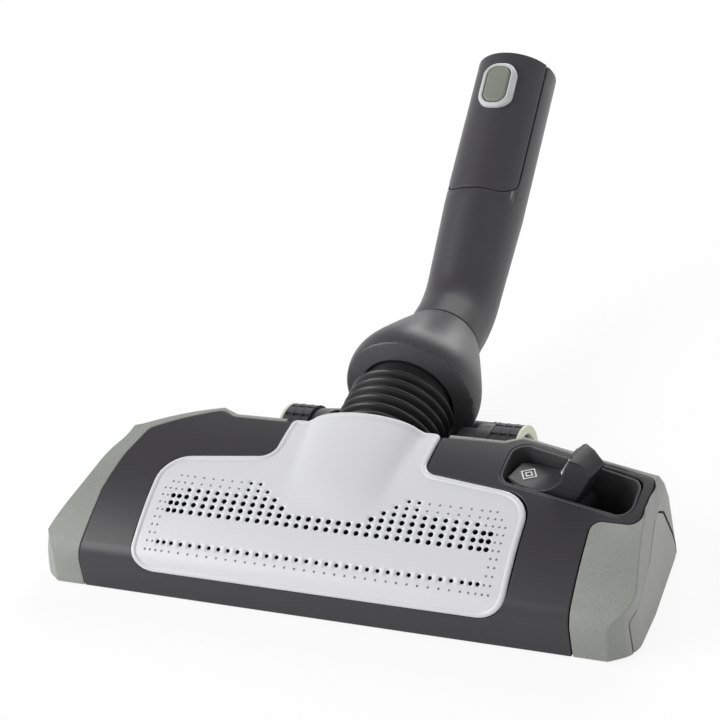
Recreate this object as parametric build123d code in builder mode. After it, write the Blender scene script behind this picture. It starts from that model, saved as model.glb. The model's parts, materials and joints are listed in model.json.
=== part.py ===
from build123d import *
from math import cos, hypot, radians, sin, sqrt, tan
import os

# Head: a low box with a crowned top, front face towards -Y, floor at z = 0
front_y = -40.0
half_width = 140.0
head_height = 48.3
crown_r = 136.9
crown_y = 44.2
chin_r = 12.0
corner_r = 12.0
back_lean = 18.0
skirt_z = 1.0
wall = 2.4
cover_t = 3.0
seam = 0.5
back_y = 36.8
kink_inset = 66.5

# Air grille: panel outline, lip, dome and hole pattern
grille_t = 1.8
grille_lift = 0.4
lip_h = 1.0
lip_w = 1.6
ledge_w = 3.0
grille_inset = 52.5
grille_neck = 36.0
grille_drop = 4.8
dome_front_y, dome_back_y = -13.0, 36.0
hole_r = 1.2
hole_margin = 10.9
holes_half = 16.3
row_pitch = 3.24
first_row_y = -3.0
hole_rows = (
    (0, 7, 9), (1, 6, 9), (2, 5, 15), (3, 4, 16), (4, 0, 16), (5, 0, 16), (9, 0, 16),
)
mat_t = 2.0
panel_t = 1.5
panel_gap_w = 0.4
flush = 0.15
seat = 0.1

# Pedal: rocker in a tray set across the head
pedal_inset, pedal_y, pedal_z = 39.8, 17.4, 31.0
pedal_turn = -13.5
pedal_tilt = 25.0
pedal_wing = 20.6
pedal_valley = 12.0
pedal_rise = 27.0
pedal_t = 6.6
pedal_hub_r = 7.0
pedal_width = 17.0
pin_r = 2.0
pin_half = 11.0
tray_floor = 19.0
tray_wall = 1.2

# Sole, brush and fixings
sole_t = 3.0
mouth_inset, mouth_front, mouth_back = 40.0, -27.5, -12.0
brush_front, brush_rear = -33.4, 6.0
brush_slot, brush_t, brush_inset = 4.0, 2.4, 48.0
carrier_z, carrier_t, carrier_inset = 8.0, 3.0, 30.0
post_in, post_r, post_h = 4.0, 2.4, 15.0
lifter_w, lifter_t = 2.0, 1.1
screw_r, screw_head_r, boss_r = 1.6, 3.0, 3.6

# Axle, wheels, duct, yoke and bellows
axle_y, axle_z, axle_r = 68.0, 15.8, 3.0
run_gap = 0.05
slip = 0.02
lug_in, lug_out, lug_r = 28.5, 36.4, 12.2
hub_in, hub_out, hub_r = 36.8, 44.4, 14.6
arm_run, arm_drop, arm_r, arm_in = 21.0, 4.0, 6.5, 19.0
wheel_in, wheel_out, wheel_r = 45.0, 59.5, 15.8
tread_r, tread_floor, tread_w, tread_step = 15.6, 13.2, 3.8, 4.4
duct_r, duct_z, duct_t = 20.0, 29.0, 2.5
rib_r, root_r, rubber_t, ribs = 25.0, 21.8, 1.0, 6
bellows_start = 43.0
collar_y, collar_z, collar_pitch = 84.0, 36.4, 5.0
collar_r, collar_len, collar_t = 32.6, 40.0, 3.0
flange_s, flange_t, mouth_r = -7.0, 5.0, 22.7
ring_s, ring_r = -1.9, 26.5

# Neck: swivels on the collar, then bends up to the wand socket
throat_r, throat_len = 16.0, 7.0
spigot_r, spigot_bore = 15.6, 13.5
swivel_gap = 0.4
neck_root_r, neck_r, neck_bore = 18.4, 20.0, 16.0
neck_pitch = 33.8
vertex_s = 63.4
bend_r = 45.0
neck_len = 136.0
socket_r, socket_len = 17.65, 50.0
shield_t, shield_half, shield_start = 1.0, 18.0, 59.0
button_in = 20.0
pad_w, pad_l, pad_gap = 11.8, 20.0, 0.4
frame_w, frame_l = 17.4, 25.6
frame_top, pad_low = 22.6, 20.7

reach = half_width + 10
grille_half = half_width - grille_inset
hole_pitch = (grille_half - hole_margin) / holes_half
pedal_x = half_width - pedal_inset
kink_x = half_width - kink_inset
mouth_half, brush_half = half_width - mouth_inset, half_width - brush_inset
carrier_half = half_width - carrier_inset
post_x = carrier_half - post_in
throat_s = collar_len - throat_len
button_s = neck_len - button_in
crown_z = head_height - crown_r
chin_z = crown_z + sqrt(crown_r**2 - (crown_y - front_y) ** 2)
crown_top = crown_z + crown_r
middle_y = (front_y + crown_y) / 2
middle_z = crown_z + sqrt(crown_r**2 - (crown_y - middle_y) ** 2)
grille_chin_z = chin_z - grille_drop

# Leaning facet behind the right end, through the rim of the cover
facet_run = Vector(half_width - 5.2 - kink_x, 24 - 41, 0).normalized()
facet_out = Vector(-facet_run.Y, facet_run.X, 0)
facet_normal = facet_out * cos(radians(back_lean)) + Vector(0, 0, sin(radians(back_lean)))
back_facet = Plane(origin=(half_width - 5.2, 24, 46), x_dir=facet_run, z_dir=facet_normal)


def crown_block(inset):
    """Chin and crown profile, drawn in by inset and run right across the head."""
    with BuildPart() as block:
        with BuildSketch(Plane.YZ) as profile:
            with BuildLine():
                Polyline((70, crown_top), (70, -20), (front_y, -20), (front_y, chin_z))
                ThreePointArc((front_y, chin_z), (middle_y, middle_z), (crown_y, crown_top))
                Line((crown_y, crown_top), (70, crown_top))
            make_face()
            fillet(profile.vertices().sort_by_distance((front_y, chin_z, 0))[0], chin_r)
            offset(amount=-inset, kind=Kind.INTERSECTION)
        extrude(amount=reach, both=True)
    return block.part


def head_plan(inset):
    """Outline of the head seen from above, drawn in by inset."""
    with BuildSketch() as plan:
        with BuildLine():
            Polyline(
                (12 - half_width, front_y - 1), (half_width - 12, front_y - 1), (half_width, front_y + 7),
                (half_width, -8), (half_width - 4.8, 28), (half_width - 7, 40), (kink_x, 41),
                (kink_x - 8.5, back_y), (8.5 - kink_x, back_y), (-kink_x, 41),
                (5.2 - half_width, 24), (-half_width, -8), (-half_width, front_y + 7), close=True,
            )
        make_face()
        fillet(plan.vertices().filter_by(lambda v: v.Y < front_y + 8), corner_r)
        offset(amount=-inset, kind=Kind.INTERSECTION)
    return plan.sketch


def head_block(inset):
    """The head's whole outer form, drawn in by inset on every side."""
    crowned = crown_block(inset)
    plan = head_plan(inset)
    with BuildPart() as block:
        add(crowned)
        with BuildSketch():
            add(plan)
        extrude(amount=reach, both=True, mode=Mode.INTERSECT)
        with BuildSketch(Plane.XZ):
            with BuildLine():
                Polyline(
                    (-half_width, -30), (half_width, -30), (half_width, 28.5), (half_width - 10, 60),
                    (38.8 - half_width, 60), (-half_width, 22.8), close=True,
                )
            make_face()
            offset(amount=-inset, kind=Kind.INTERSECTION)
        extrude(amount=reach, both=True, mode=Mode.INTERSECT)
        split(bisect_by=back_facet.offset(-inset), keep=Keep.BOTTOM)
    return block.part


def cover_prism(grow):
    """Upright prism over the top cover's seam line; the bump clears the pedal tray."""
    with BuildPart() as prism:
        with BuildSketch() as plan:
            with BuildLine():
                Polyline(
                    (half_width - 25.5, -60), (half_width - 25.5, -1), (half_width - 5.6, -1),
                    (half_width - 5.6, 21.5), (kink_x - 0.5, 38.5), (kink_x - 7.5, 34.5),
                    (7.5 - kink_x, 34.5), (0.5 - kink_x, 38.5),
                    (37 - half_width, 27.5), (25.5 - half_width, -13), (25.5 - half_width, -60),
                    close=True,
                )
            make_face()
            fillet(plan.vertices().filter_by(lambda v: v.Y > -50), 5)
            offset(amount=grow)
        extrude(amount=80)
    return prism.part


def grille_prism(grow, back):
    """Upright prism over the grille, stopped on the chin with rounded lower corners."""
    with BuildPart() as prism:
        with BuildSketch() as plan:
            with BuildLine():
                Polyline(
                    (grille_half, -60), (grille_half, 6), (grille_neck, 12.3), (grille_neck, back),
                    (-grille_neck, back), (-grille_neck, 12.3), (-grille_half, 6),
                    (-grille_half, -60), close=True,
                )
            make_face()
            fillet(plan.vertices().filter_by(lambda v: 0 < v.Y < 10), 13)
            fillet(plan.vertices().filter_by(lambda v: 10 < v.Y < 20), 5)
            offset(amount=grow)
        extrude(amount=80)
        with BuildSketch(Plane.XZ) as front:
            with Locations((0, grille_chin_z + 40)):
                RectangleRounded(2 * grille_half, 80, 12)
            offset(amount=grow)
        extrude(amount=reach, both=True, mode=Mode.INTERSECT)
    return prism.part


def recess_prism(grow, low):
    """Upright prism over the pedal recess, starting at height low."""
    with BuildPart() as prism:
        with BuildSketch(Plane.XY.offset(low)) as plan:
            with BuildLine():
                Polyline((pedal_x - 31, 11.9), (pedal_x + 30.5, -0.3), (pedal_x + 30.5, 20.7),
                         (pedal_x - 31, 37.6), close=True)
            make_face()
            fillet(plan.vertices(), 7)
            offset(amount=grow)
        extrude(amount=80 - low)
    return prism.part


def dome_block(inset):
    """Half cone under the grille's raised middle, open towards the bellows."""
    with BuildPart() as block:
        sections = ((dome_back_y + 4 * inset, 27.0, 46.5, 8.7), (dome_front_y, 22.0, 35.0, 1.4))
        for y, half, base, rise in sections:
            with BuildSketch(Plane.XZ.offset(-y)):
                with BuildLine():
                    EllipticalCenterArc((0, base - inset / 4), half - inset, rise, 0, arc_size=180)
                    Polyline((inset - half, base - inset / 4), (inset - half, 15),
                             (half - inset, 15), (half - inset, base - inset / 4))
                make_face()
        loft()
    return block.part


# Working solids the shells are cut from, each built once
outer = head_block(0)
outer_in = head_block(wall)
panel_face = head_block(flush)
panel_back, panel_pocket = head_block(panel_t), head_block(panel_t + seat)
crown = crown_block(0)
crown_lift, crown_lip = crown_block(-grille_lift), crown_block(-lip_h)
crown_grille, crown_ledge = crown_block(grille_t), crown_block(grille_t + seat)
crown_under, crown_mat = crown_block(cover_t), crown_block(cover_t + seat)
crown_mat_in, crown_sole = crown_block(cover_t + mat_t), crown_block(cover_t + 0.2)
cover_area, cover_gap = cover_prism(0), cover_prism(seam)
panel_area, panel_inside = grille_prism(0, dome_back_y), grille_prism(-lip_w, 60)
panel_gap, panel_open = grille_prism(seam, 60), grille_prism(-ledge_w, 60)
mat_area = grille_prism(-1, 28)
dome, dome_in = dome_block(0), dome_block(grille_t)
recess = recess_prism(0, 0)
tray_area = recess_prism(-flush, tray_floor)
tray_inside = recess_prism(-flush - tray_wall, tray_floor + tray_wall)
sole_plan = head_plan(cover_t + 0.2)
below_skirt = Pos(0, 0, skirt_z - reach) * Box(2 * reach, 2 * reach, 2 * reach)
screw_x = half_width - 16
screw_spots = ((-screw_x, -26), (screw_x, -26), (-55, 29.5), (55, 29.5))
post_spots = ((-post_x, -20), (post_x, -20), (-post_x, 0), (post_x, 0))
lifter_spots = ((0, mouth_front - 1.8), (0, mouth_back + 1.8))
tread_x = wheel_in + 0.4 + tread_w / 2
tread_spots = ((tread_x, wheel_r), (tread_x + tread_step, wheel_r), (tread_x + 2 * tread_step, wheel_r))



def panel_prism(grow):
    """Side outlines of the two end panels, run through the end walls."""
    with BuildPart() as prism:
        with BuildSketch(Plane.YZ.offset(half_width - 20)) as right_side:
            with BuildLine():
                Polyline((-33, skirt_z), (-33.5, 18), (8, 35.5), (15, 35.5), (21, 31), (32, 6),
                         (32, skirt_z), close=True)
            make_face()
            fillet(right_side.vertices().filter_by(lambda v: v.Y > 10), 4)
            offset(amount=grow)
        extrude(amount=30)
        with BuildSketch(Plane.YZ.offset(20 - half_width)) as left_side:
            with BuildLine():
                Polyline((-33, skirt_z), (-33.5, 13.5), (-9, 19.5), (12, 23), (18, 23), (22, 16),
                         (22, skirt_z), close=True)
            make_face()
            fillet(left_side.vertices().filter_by(lambda v: v.Y > 10), 4)
            offset(amount=grow)
        extrude(amount=-30)
    return prism.part


panel_room, panel_plug = panel_prism(0), panel_prism(-panel_gap_w)

# Pale lower housing: both ends, the strip along the back, panel pockets and screw bosses
with BuildPart() as lower_housing:
    add(outer)
    add(outer_in, mode=Mode.SUBTRACT)
    add(cover_gap, mode=Mode.SUBTRACT)
    add(below_skirt, mode=Mode.SUBTRACT)
    with Locations((0, back_y, 6)):
        Box(79, 12, 60, align=(Align.CENTER, Align.CENTER, Align.MIN), mode=Mode.SUBTRACT)
    with BuildSketch(Plane.XY.offset(sole_t + 0.2)):
        with Locations(*screw_spots):
            Circle(boss_r)
        with Locations((-screw_x - 7, -26), (screw_x + 7, -26)):
            Rectangle(15, wall)
        with Locations((-55, 32.6), (55, 32.6)):
            Rectangle(wall, 8)
    extrude(amount=14)
    with BuildSketch(Plane.XY.offset(sole_t)):
        with Locations(*screw_spots):
            Circle(screw_r + slip)
    extrude(amount=11, mode=Mode.SUBTRACT)
    add(panel_room - panel_pocket, mode=Mode.SUBTRACT)

with BuildPart() as end_panels:
    add(panel_plug)
    add(panel_face, mode=Mode.INTERSECT)
    add(panel_back, mode=Mode.SUBTRACT)
end_left, end_right = end_panels.part.solids().sort_by(Axis.X)
with BuildPart() as end_panel_left:
    add(end_left)
with BuildPart() as end_panel_right:
    add(end_right)

# Charcoal top cover: crowned skin with a ledge for the grille and a hole for the tray
with BuildPart() as top_cover:
    add(crown)
    add(crown_under, mode=Mode.SUBTRACT)
    add(cover_area, mode=Mode.INTERSECT)
    add(outer, mode=Mode.INTERSECT)
    add(below_skirt, mode=Mode.SUBTRACT)
    add(panel_gap - crown_ledge, mode=Mode.SUBTRACT)
    add(panel_open, mode=Mode.SUBTRACT)
    add(recess, mode=Mode.SUBTRACT)

# White air grille: thin crowned panel, raised lip, dome and rows of holes
with BuildPart() as air_grille:
    add(crown_lift)
    add(crown_lip & (panel_area - panel_inside))
    add(dome)
    add(panel_area, mode=Mode.INTERSECT)
    add(crown_grille, mode=Mode.SUBTRACT)
    add(dome_in, mode=Mode.SUBTRACT)
    with BuildSketch():
        for row, first, last in hole_rows:
            columns = range(round(first), round(last))
            spots = [(hole_pitch * (k + 0.5), first_row_y - row_pitch * row) for k in columns]
            with Locations(*spots):
                RegularPolygon(hole_r, 6)
        mirror(about=Plane.YZ)
    extrude(amount=80, mode=Mode.SUBTRACT)

# Dark foam mat held under the ledge, behind the holes
with BuildPart() as filter_mat:
    add(crown_mat)
    add(crown_mat_in, mode=Mode.SUBTRACT)
    add(mat_area, mode=Mode.INTERSECT)

# Black pedal tray with its pin, and the rocker pedal tipped to the left
pedal_frame = Plane(
    origin=(pedal_x, pedal_y, pedal_z),
    x_dir=(cos(radians(pedal_turn)), sin(radians(pedal_turn)), 0),
    z_dir=(sin(radians(pedal_turn)), -cos(radians(pedal_turn)), 0),
)
with BuildPart() as pedal_tray:
    add(tray_area)
    add(tray_inside, mode=Mode.SUBTRACT)
    add(panel_face, mode=Mode.INTERSECT)
    with BuildSketch(pedal_frame):
        Circle(pin_r + slip)
    extrude(amount=pin_half + 3, both=True, mode=Mode.SUBTRACT)

with BuildPart() as pedal_pin:
    with BuildSketch(pedal_frame):
        Circle(pin_r)
    extrude(amount=pin_half, both=True)

tip = pedal_valley + pedal_wing * tan(radians(pedal_rise))
level, climb = cos(radians(pedal_tilt)), sin(radians(pedal_tilt))
rocker_frame = Plane(
    origin=pedal_frame.origin,
    x_dir=(pedal_frame.x_dir.X * level, pedal_frame.x_dir.Y * level, climb),
    z_dir=pedal_frame.z_dir,
)
with BuildPart() as pedal:
    with BuildSketch(rocker_frame):
        with BuildLine():
            ThreePointArc((-pedal_wing, tip), (0, pedal_valley), (pedal_wing, tip))
            Polyline((pedal_wing, tip), (pedal_wing + 1, tip - pedal_t), (6, 3), (-6, 3),
                     (-pedal_wing - 1, tip - pedal_t), (-pedal_wing, tip))
        make_face()
        Circle(pedal_hub_r)
        Circle(pin_r + run_gap, mode=Mode.SUBTRACT)
    extrude(amount=pedal_width / 2, both=True)
    wing_ends = pedal.faces().sort_by(Axis(rocker_frame.origin, rocker_frame.x_dir))
    upright = (wing_ends[0].edges() + wing_ends[-1].edges()).filter_by(
        lambda edge: abs(edge.length - hypot(1, pedal_t)) < 0.1)
    chamfer(upright, 3.0)

# Sole plate: flat underside with mouth, brush slots, grooves and guide posts
with BuildPart() as sole_plate:
    with BuildSketch():
        add(sole_plan)
    extrude(amount=sole_t)
    add(crown_sole, mode=Mode.INTERSECT)
    with BuildSketch():
        with Locations((0, (mouth_front + mouth_back) / 2)):
            RectangleRounded(2 * mouth_half, mouth_back - mouth_front, 4)
        with Locations((0, brush_front), (0, brush_rear)):
            SlotOverall(2 * brush_half + 6, brush_slot)
    extrude(amount=sole_t, mode=Mode.SUBTRACT)
    with BuildSketch():
        with Locations(*lifter_spots):
            Rectangle(2 * brush_half + 0.4, lifter_w + 0.2)
        with Locations(*screw_spots):
            Circle(screw_head_r + 0.3)
    extrude(amount=lifter_t + 0.2, mode=Mode.SUBTRACT)
    with BuildSketch():
        with Locations(*screw_spots):
            Circle(screw_r + 0.2)
    extrude(amount=sole_t, mode=Mode.SUBTRACT)
    with BuildSketch(Plane.XY.offset(sole_t)):
        with Locations(*post_spots):
            Circle(post_r)
    extrude(amount=post_h)

with BuildPart() as thread_lifters:
    with BuildSketch(Plane.XY.offset(0.1)):
        with Locations(*lifter_spots):
            Rectangle(2 * brush_half, lifter_w)
    extrude(amount=lifter_t)

with BuildPart() as screws:
    with BuildSketch(Plane.XY.offset(0.2)):
        with Locations(*screw_spots):
            Circle(screw_head_r)
    extrude(amount=lifter_t - 0.1)
    with BuildSketch(Plane.XY.offset(0.2)):
        with Locations(*screw_spots):
            Circle(screw_r)
    extrude(amount=12)

# Brush carrier frame riding on the posts, with its two bristle strips
with BuildPart() as brush_carrier:
    with BuildSketch(Plane.XY.offset(carrier_z)):
        with Locations((0, brush_front), (0, brush_rear)):
            Rectangle(2 * carrier_half, 5)
        with Locations((-post_x, (brush_front + brush_rear) / 2), (post_x, (brush_front + brush_rear) / 2)):
            Rectangle(2 * (carrier_half - post_x), brush_rear - brush_front)
        with Locations(*post_spots):
            Circle(post_r + run_gap, mode=Mode.SUBTRACT)
    extrude(amount=carrier_t)

with BuildPart() as bristle_front:
    with BuildSketch(Plane.XY.offset(skirt_z)):
        with Locations((0, brush_front)):
            Rectangle(2 * brush_half, brush_t)
    extrude(amount=carrier_z - skirt_z)

with BuildPart() as bristle_rear:
    with BuildSketch(Plane.XY.offset(skirt_z)):
        with Locations((0, brush_rear)):
            Rectangle(2 * brush_half, brush_t)
    extrude(amount=carrier_z - skirt_z)

# Duct bracket: back plate, spigot for the bellows and the two axle lugs
with BuildPart() as duct_bracket:
    with Locations((0, back_y - 0.4, 6.4)):
        Box(77.6, 5.4, 38, align=(Align.CENTER, Align.MAX, Align.MIN))
    with BuildSketch(Plane.XZ.offset(-(back_y - 5.8))):
        with Locations((0, duct_z)):
            Circle(duct_r)
    extrude(amount=-(bellows_start - 1 - back_y + 5.8))
    with BuildSketch(Plane.YZ.offset(lug_in)):
        with BuildLine():
            Polyline((back_y - 3, 6.4), (back_y - 3, 30), (axle_y, axle_z + lug_r))
            ThreePointArc((axle_y, axle_z + lug_r), (axle_y + lug_r, axle_z), (axle_y, axle_z - lug_r))
            Line((axle_y, axle_z - lug_r), (back_y - 3, 6.4))
        make_face()
        with Locations((axle_y, axle_z)):
            Circle(axle_r + slip, mode=Mode.SUBTRACT)
    extrude(amount=lug_out - lug_in)
    mirror(about=Plane.YZ)
    with BuildSketch(Plane.XZ.offset(-20)):
        with Locations((0, duct_z)):
            Circle(duct_r - duct_t)
    extrude(amount=-40, mode=Mode.SUBTRACT)

# Axle pins: fixed in the lugs, carrying the yoke hubs and the wheels
with BuildPart() as axle_pins:
    with BuildSketch(Plane.YZ.offset(lug_in)):
        with Locations((axle_y, axle_z)):
            Circle(axle_r)
    extrude(amount=wheel_out - 1 - lug_in)
    with BuildSketch(Plane.YZ.offset(wheel_out - 2.6)):
        with Locations((axle_y, axle_z)):
            Circle(axle_r + 2)
    extrude(amount=1.6)
    mirror(about=Plane.YZ)

# Wheel: pale core with flanges and ridges, three dark tread bands
wheel_axis = Axis((0, axle_y, axle_z), (1, 0, 0))
wheel_frame = Plane(origin=(0, axle_y, axle_z), x_dir=(1, 0, 0), z_dir=(0, -1, 0))
with BuildPart() as wheel_core_right:
    with BuildSketch(wheel_frame):
        with BuildLine():
            Polyline(
                (wheel_in, axle_r + run_gap), (wheel_in, wheel_r), (wheel_out, wheel_r),
                (wheel_out, 12), (wheel_out - 3, 11), (wheel_out - 3, axle_r + run_gap), close=True,
            )
        make_face()
        with Locations(*tread_spots):
            Rectangle(tread_w, 2 * (wheel_r - tread_floor), mode=Mode.SUBTRACT)
    revolve(axis=wheel_axis)

with BuildPart() as tyre_right:
    with BuildSketch(wheel_frame):
        with Locations(*tread_spots):
            with Locations((0, tread_floor - wheel_r + 0.05)):
                Rectangle(tread_w - 0.1, tread_r - tread_floor - 0.05, align=(Align.CENTER, Align.MIN))
    revolve(axis=wheel_axis)
    with BuildSketch(Plane.YZ.offset(wheel_in)):
        with Locations((axle_y, axle_z)):
            with PolarLocations(tread_r, 14):
                Rectangle(1.6, 1.8)
    extrude(amount=wheel_out - wheel_in, mode=Mode.SUBTRACT)

with BuildPart() as wheel_core_left:
    mirror(wheel_core_right.part, about=Plane.YZ)
with BuildPart() as tyre_left:
    mirror(tyre_right.part, about=Plane.YZ)

# Yoke: bell collar on two hubs that turn about the axle
collar_dir = Vector(0, cos(radians(collar_pitch)), sin(radians(collar_pitch)))
collar_at = Vector(0, collar_y, collar_z)
collar_axis = Axis(collar_at, collar_dir)
collar_frame = Plane(origin=collar_at, x_dir=(1, 0, 0), z_dir=(0, -collar_dir.Z, collar_dir.Y))
with BuildPart() as yoke:
    with BuildSketch(Plane.YZ.offset(hub_in)):
        with Locations((axle_y, axle_z)):
            Circle(hub_r)
        with Locations((axle_y + arm_run, axle_z - arm_drop)):
            Circle(arm_r)
        make_hull()
    extrude(amount=hub_out - hub_in)
    with BuildSketch(Plane.YZ.offset(arm_in)):
        with Locations((axle_y + arm_run, axle_z - arm_drop)):
            Circle(arm_r)
    extrude(amount=hub_out - arm_in)
    mirror(about=Plane.YZ)
    with BuildSketch(collar_frame) as bell:
        with BuildLine():
            Polyline((0, collar_len), (0, flange_s), (mouth_r, flange_s), (collar_r - 1.6, flange_s + 3))
            Spline((collar_r - 1.6, flange_s + 3), (collar_r, 4), (collar_r - 2.2, 15),
                   (collar_r - 7.2, 27), (neck_root_r + 0.4, collar_len))
            Line((neck_root_r + 0.4, collar_len), (0, collar_len))
        make_face()
    revolve(axis=collar_axis)
    with BuildSketch(collar_frame):
        with BuildLine():
            Polyline((0, flange_s - 2), (mouth_r, flange_s - 2), (mouth_r, flange_s + flange_t),
                     (ring_r + 0.1, flange_s + flange_t), (ring_r + 0.1, ring_s + 3.1),
                     (collar_r - collar_t, 7), (collar_r - 2.2 - collar_t, 14),
                     (collar_r - 8.4 - collar_t, 26), (throat_r + 4, throat_s), (throat_r, throat_s),
                     (throat_r, collar_len + 2), (0, collar_len + 2), close=True)
        make_face()
    revolve(axis=collar_axis, mode=Mode.SUBTRACT)
    with BuildSketch(Plane.YZ):
        with Locations((axle_y, axle_z)):
            Circle(axle_r + run_gap)
    extrude(amount=reach, both=True, mode=Mode.SUBTRACT)

# Rubber bellows: cuff on the spigot, then ribs up to the ring inside the collar
bellows_at = Vector(0, bellows_start, duct_z)
bellows_run = collar_at + collar_dir * (flange_s - 3) - bellows_at
bellows_frame = Plane(origin=bellows_at, x_dir=(1, 0, 0),
                      z_dir=(0, -bellows_run.Z / bellows_run.length, bellows_run.Y / bellows_run.length))
rib_count = round(ribs)
rib_step = bellows_run.length / rib_count
with BuildPart() as bellows:
    with BuildSketch(bellows_frame):
        with BuildLine():
            folds = range(2 * rib_count + 1)
            outside = [(root_r + (rib_r - root_r) * (k % 2), rib_step * k / 2) for k in folds]
            inside = [(r - rubber_t, s) for r, s in reversed(outside)]
            Polyline(*outside, *inside, close=True)
        make_face()
    revolve(axis=Axis(bellows_at, bellows_run))
    with BuildSketch(Plane.XZ.offset(-(bellows_start + 4.5))):
        with Locations((0, duct_z)):
            Circle(root_r + 0.2)
            Circle(duct_r + slip, mode=Mode.SUBTRACT)
    extrude(amount=bellows_start + 4.3 - back_y)
    with BuildSketch(collar_frame):
        with Locations((root_r + 0.2, flange_s - 5)):
            Rectangle(rubber_t, ring_s + 8 - flange_s, align=(Align.MAX, Align.MIN))
    revolve(axis=collar_axis)

with BuildPart() as bellows_ring:
    with BuildSketch(collar_frame):
        with Locations((root_r + 0.3, ring_s)):
            Rectangle(ring_r - root_r - 0.3, 3, align=(Align.MIN, Align.MIN))
    revolve(axis=collar_axis)

# Neck tube: spigot in the collar's throat, sleeve, bend and straight wand socket
neck_dir = Vector(0, cos(radians(neck_pitch)), sin(radians(neck_pitch)))
vertex = collar_at + collar_dir * vertex_s
neck_axis = Axis(vertex, neck_dir)
neck_frame = Plane(origin=vertex, x_dir=(1, 0, 0), z_dir=(0, -neck_dir.Z, neck_dir.Y))
bend_run = bend_r * tan(radians((neck_pitch - collar_pitch) / 2))
bend_at = vertex - collar_dir * bend_run
bend_centre = bend_at + Vector(0, -collar_dir.Z, collar_dir.Y) * bend_r
seam_s = collar_len + swivel_gap


def shield_body(depth, proud, grow):
    """Curved plate let into the neck down to depth and up to the socket's end."""
    with BuildPart() as plate:
        with BuildSketch(neck_frame):
            with Locations((neck_r - depth, shield_start - grow)):
                Rectangle(depth + proud, neck_len, align=(Align.MIN, Align.MIN))
        revolve(axis=neck_axis)
        with BuildSketch(neck_frame):
            with Locations((0, (shield_start + neck_len) / 2 + 5)):
                RectangleRounded(2 * (shield_half + grow), neck_len - shield_start + 10 + 2 * grow, 9)
        extrude(amount=40, mode=Mode.INTERSECT)
    return plate.part


with BuildPart() as neck_tube:
    with BuildSketch(collar_frame):
        with BuildLine():
            Polyline(
                (spigot_bore, throat_s - 4), (spigot_r, throat_s - 4), (spigot_r, seam_s),
                (neck_root_r, seam_s), (neck_root_r, vertex_s - bend_run),
                (neck_bore, vertex_s - bend_run), (spigot_bore, seam_s), close=True,
            )
        make_face()
    revolve(axis=collar_axis)
    with BuildSketch(Plane(origin=bend_at, x_dir=(1, 0, 0), z_dir=collar_dir)):
        Circle(neck_root_r)
        Circle(neck_bore, mode=Mode.SUBTRACT)
    revolve(axis=Axis(bend_centre, (1, 0, 0)), revolution_arc=neck_pitch - collar_pitch)
    with BuildSketch(neck_frame):
        with BuildLine():
            Polyline(
                (neck_bore, bend_run), (neck_root_r, bend_run), (neck_r, 55), (neck_r, neck_len),
                (socket_r, neck_len), (socket_r, neck_len - socket_len),
                (neck_bore, neck_len - socket_len - 2), close=True,
            )
        make_face()
    revolve(axis=neck_axis)
    add(shield_body(shield_t + 0.05, 2, pad_gap), mode=Mode.SUBTRACT)

# Swivel clip behind the throat's shoulder and the seal in the throat
with BuildPart() as swivel_clip:
    with BuildSketch(collar_frame):
        with Locations((spigot_r + slip, throat_s - 3)):
            Rectangle(2.4, 2.5, align=(Align.MIN, Align.MIN))
    revolve(axis=collar_axis)

with BuildPart() as swivel_seal:
    with BuildSketch(collar_frame):
        with Locations((spigot_r + slip, throat_s + 2)):
            Rectangle(throat_r - run_gap - spigot_r - slip, 2.5, align=(Align.MIN, Align.MIN))
    revolve(axis=collar_axis)

# Shield over the neck, with the release button's frame and pad
with BuildPart() as neck_shield:
    add(shield_body(shield_t, flush, 0))
    with BuildSketch(neck_frame):
        with Locations((0, neck_len)):
            Rectangle(60, 40, align=(Align.CENTER, Align.MIN))
    extrude(amount=40, mode=Mode.SUBTRACT)
    with BuildSketch(neck_frame):
        with Locations((0, button_s)):
            RectangleRounded(pad_w + 2 * pad_gap, pad_l + 2 * pad_gap, 5)
    extrude(amount=40, mode=Mode.SUBTRACT)

with BuildPart() as button_frame:
    with BuildSketch(neck_frame):
        with Locations((0, button_s)):
            RectangleRounded(frame_w, frame_l, 7.5)
    extrude(amount=frame_top)
    chamfer(button_frame.faces().sort_by(Axis(vertex, neck_frame.z_dir))[-1].edges(), 1.2)
    with BuildSketch(neck_frame):
        with Locations((0, button_s)):
            RectangleRounded(pad_w + 2 * pad_gap, pad_l + 2 * pad_gap, 5)
    extrude(amount=40, mode=Mode.SUBTRACT)
    with BuildSketch(neck_frame):
        with Locations((0, shield_start)):
            Rectangle(neck_r + flush + slip, neck_len, align=(Align.MIN, Align.MIN))
    revolve(axis=neck_axis, mode=Mode.SUBTRACT)

with BuildPart() as button_pad:
    with BuildSketch(neck_frame.offset(pad_low)):
        with Locations((0, button_s)):
            RectangleRounded(pad_w, pad_l, 4.6)
    extrude(amount=frame_top + 0.5 - pad_low)
    chamfer(button_pad.faces().sort_by(Axis(vertex, neck_frame.z_dir))[-1].edges(), 0.8)

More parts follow.
